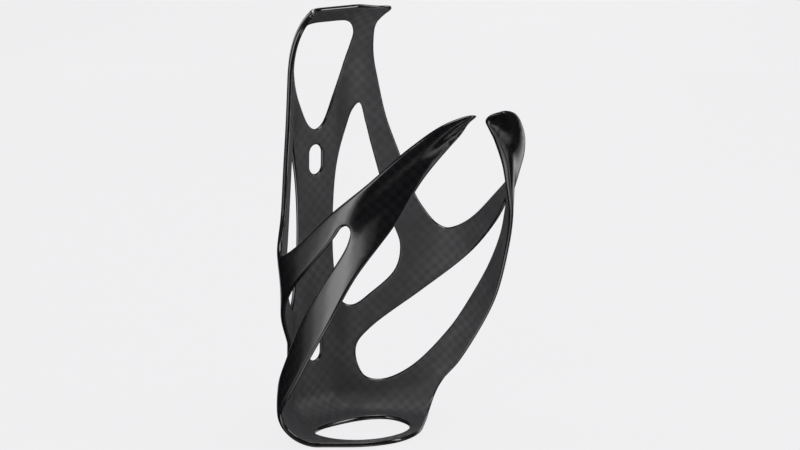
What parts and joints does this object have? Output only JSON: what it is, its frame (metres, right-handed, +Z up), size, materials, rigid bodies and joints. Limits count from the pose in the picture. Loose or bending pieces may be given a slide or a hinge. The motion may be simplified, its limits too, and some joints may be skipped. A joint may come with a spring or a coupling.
{
  "type": "bottle cage",
  "caption": "Carbon laminate cage that bolts to a bicycle frame and holds a drinks bottle between two sprung arms, with a floor shelf and a top hook.",
  "frame": {"origin": "on the flat back of the spine, midway between the two mounting slots", "axes": "+Z up along the spine and the bottle, +Y towards the bicycle frame, +X to the right as the open side is faced"},
  "size_m": [0.0794, 0.0825, 0.1414],
  "materials": {
    "matte_carbon_weave": "matte woven carbon laminate, dark grey",
    "gloss_clear_coat": "gloss black clear coat over carbon laminate"
  },
  "bodies": {
    "shell": {"top_tab": "gloss_clear_coat", "spine_plate": "matte_carbon_weave", "cup_wall": "matte_carbon_weave", "floor_shelf": "matte_carbon_weave", "floor_rim": "gloss_clear_coat", "right_leg": "matte_carbon_weave", "left_leg": "matte_carbon_weave", "right_side_rail": "matte_carbon_weave", "left_side_rail": "matte_carbon_weave", "right_upper_rib_root": "matte_carbon_weave", "left_upper_rib_root": "matte_carbon_weave", "right_base_corner": "matte_carbon_weave", "left_base_corner": "matte_carbon_weave"},
    "right_arm": {"right_upper_rib": "gloss_clear_coat", "right_lower_rib": "gloss_clear_coat", "right_finger": "gloss_clear_coat", "right_finger_tip": "gloss_clear_coat"},
    "left_arm": {"left_upper_rib": "gloss_clear_coat", "left_lower_rib": "gloss_clear_coat", "left_finger": "gloss_clear_coat", "left_finger_tip": "gloss_clear_coat"}
  },
  "joints": [
    {"name": "right_arm_flex", "type": "hinge", "parent": "shell", "child": "right_arm", "pos_m": [0.0351, -0.0271, -0.018], "axis": [0, 0, 1], "range_deg": [0, 4], "stiffness_Nm_per_rad": 12},
    {"name": "left_arm_flex", "type": "hinge", "parent": "shell", "child": "left_arm", "pos_m": [-0.0351, -0.0271, -0.018], "axis": [0, 0, -1], "range_deg": [0, 4], "stiffness_Nm_per_rad": 12}
  ]
}
